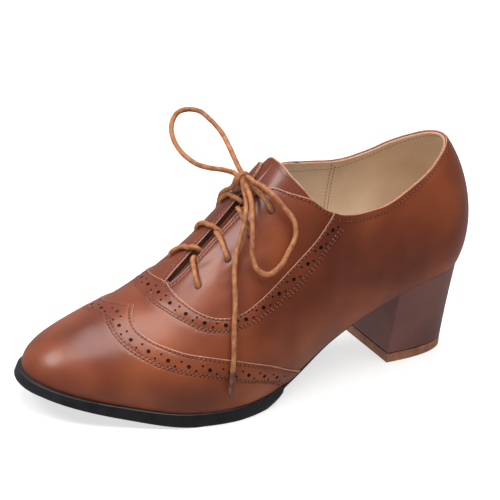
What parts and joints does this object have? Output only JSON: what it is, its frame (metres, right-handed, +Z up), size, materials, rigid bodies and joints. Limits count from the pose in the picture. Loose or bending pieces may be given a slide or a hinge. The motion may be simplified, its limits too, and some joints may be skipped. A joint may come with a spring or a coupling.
{
  "type": "heeled oxford shoe",
  "caption": "Women's lace-up oxford on a block heel: hollow leather upper with a wing cap and inset facing, tongue, insole, flared sole and a lace tied in a bow.",
  "frame": {"origin": "middle of the top piece's underside, on the floor", "axes": "+Y from toe to heel, +X to the outer side of the left foot, +Z up"},
  "size_m": [0.0962, 0.2321, 0.1211],
  "materials": {
    "brown_leather": "polished smooth calf",
    "lining": "matt beige lining",
    "black_sole": "satin black edge",
    "heel_cover": "satin wine-brown cover",
    "top_piece": "matt tan",
    "lace": "waxed round braid",
    "aglet": "dark brown tip"
  },
  "bodies": {
    "root": {"upper": "brown_leather", "tongue": "brown_leather", "insole": "lining", "outsole": "black_sole", "heel": "heel_cover", "top_piece": "top_piece", "lace_crossing_1": "lace", "lace_crossing_2": "lace", "lace_crossing_3": "lace", "lace_crossing_4": "lace", "lace_knot": "lace", "lace_loop_outer": "lace", "lace_loop_inner": "lace", "lace_end_outer": "lace", "lace_end_inner": "lace", "aglet_outer": "aglet", "aglet_inner": "aglet"}
  },
  "joints": []
}
